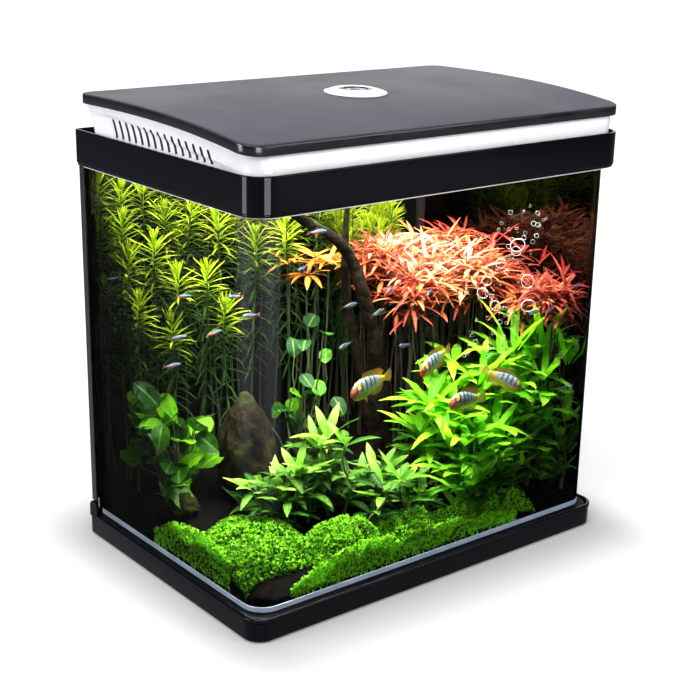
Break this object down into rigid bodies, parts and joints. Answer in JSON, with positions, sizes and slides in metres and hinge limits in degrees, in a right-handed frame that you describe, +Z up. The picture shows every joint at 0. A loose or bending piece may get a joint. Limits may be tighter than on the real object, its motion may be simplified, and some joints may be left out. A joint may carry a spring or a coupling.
{
  "type": "desktop aquarium",
  "caption": "Desktop glass aquarium with bent front corners, black base tray and top frame, planted interior and a white-sided hinged lamp hood with a round push switch.",
  "frame": {"origin": "centre of the overall footprint, on the surface that the feet stand on", "axes": "+Z up, the bent glass front faces -Y, +X to the right seen from the front"},
  "size_m": [0.4838, 0.32, 0.4965],
  "materials": {
    "gloss_black": "glossy moulded black",
    "panel_black": "fine-grained matt charcoal top with a glossy edge",
    "hood_white": "satin white moulding",
    "bezel_white": "glossy white",
    "button_chrome": "satin metallised plastic with a black ring",
    "board_green": "circuit board",
    "tank_glass": "clear float glass with a cool edge",
    "clear_silicone": "clear aquarium silicone",
    "background_black": "black background film",
    "trim_black": "black corner profile",
    "levelling_foam": "closed-cell levelling foam",
    "hinge_nylon": "grey-black nylon",
    "steel": "stainless steel",
    "lamp_silver": "satin aluminium",
    "lamp_board_white": "white lamp board",
    "lamp_lens_clear": "clear acrylic diffuser",
    "rubber_black": "black rubber",
    "filter_black": "black moulded plastic",
    "sponge_blue": "open-cell filter sponge",
    "media_ceramic": "ceramic filter media in a bag",
    "pump_black": "black moulded plastic",
    "impeller_white": "white moulded rotor",
    "knob_grey": "grey moulded plastic",
    "pipe_black": "black pipe",
    "suction_rubber": "smoky soft rubber",
    "soil_dark": "dark granular aquarium soil",
    "driftwood": "dark wet driftwood",
    "rock_mossy": "brown stone overgrown with moss",
    "moss_green": "bright green moss and carpet plants",
    "stem_green": "yellow-green feathery stem plants",
    "broad_leaf_green": "deep green broad leaves",
    "lance_green": "green lance leaves",
    "sword_green": "bright green long leaves",
    "red_leaf": "red and orange leaves"
  },
  "bodies": {
    "tank": {"base_tray": "gloss_black", "top_frame": "gloss_black", "bent_front_glass": "tank_glass", "rear_pane": "tank_glass", "bottom_pane": "tank_glass", "bottom_seam": "clear_silicone", "background_film": "background_black", "corner_trim_left": "trim_black", "corner_trim_right": "trim_black", "levelling_pad": "levelling_foam", "hinge_bracket_left": "hinge_nylon", "hinge_bracket_right": "hinge_nylon", "hinge_pin_left": "steel", "hinge_pin_right": "steel", "filter_tray": "filter_black", "drip_plate": "filter_black", "filter_sponge": "sponge_blue", "filter_media": "media_ceramic", "pump_body": "pump_black", "intake_cover": "pump_black", "riser_pipe": "pipe_black", "suction_cup_lower": "suction_rubber", "suction_cup_upper": "suction_rubber", "substrate_bed": "soil_dark", "driftwood": "driftwood", "rock_large": "rock_mossy", "rock_small": "rock_mossy", "moss_front_left": "moss_green", "moss_front_centre": "moss_green", "stem_plants_left": "stem_green", "stem_plants_centre": "stem_green", "stem_plants_right": "stem_green", "broad_leaf_plant": "broad_leaf_green", "round_leaf_plant": "broad_leaf_green", "lance_plant_centre": "lance_green", "lance_plant_front": "lance_green", "sword_plants_right": "sword_green", "red_plants": "red_leaf", "foot_front_left": "rubber_black", "foot_front_right": "rubber_black", "foot_rear_left": "rubber_black", "foot_rear_right": "rubber_black"},
    "hood": {"top_panel": "panel_black", "hood_body": "hood_white", "cable_gland": "rubber_black", "lamp_housing": "lamp_silver", "lamp_board": "lamp_board_white", "lamp_lens": "lamp_lens_clear", "lamp_screw_left": "steel", "lamp_screw_right": "steel", "switch_bezel": "bezel_white", "switch_board": "board_green", "hinge_knuckle_left": "hinge_nylon", "hinge_knuckle_right": "hinge_nylon"},
    "button": {"switch_button": "button_chrome"},
    "rotor": {"impeller": "impeller_white"},
    "knob": {"flow_knob": "knob_grey"}
  },
  "joints": [
    {"name": "hood_hinge", "type": "hinge", "parent": "tank", "child": "hood", "pos_m": [0, 0.1465, 0.4585], "axis": [-1, 0, 0], "range_deg": [0, 95]},
    {"name": "button_press", "type": "slide", "parent": "hood", "child": "button", "axis": [0, 0, -1], "range_m": [0, 0.0012], "stiffness_N_per_m": 500},
    {"name": "impeller_spin", "type": "hinge", "parent": "tank", "child": "rotor", "pos_m": [0.205, 0.118, 0.1415], "axis": [0, 0, 1], "continuous": true},
    {"name": "flow_knob_turn", "type": "hinge", "parent": "tank", "child": "knob", "pos_m": [0.205, 0.098, 0.172], "axis": [0, -1, 0], "range_deg": [0, 90]}
  ]
}
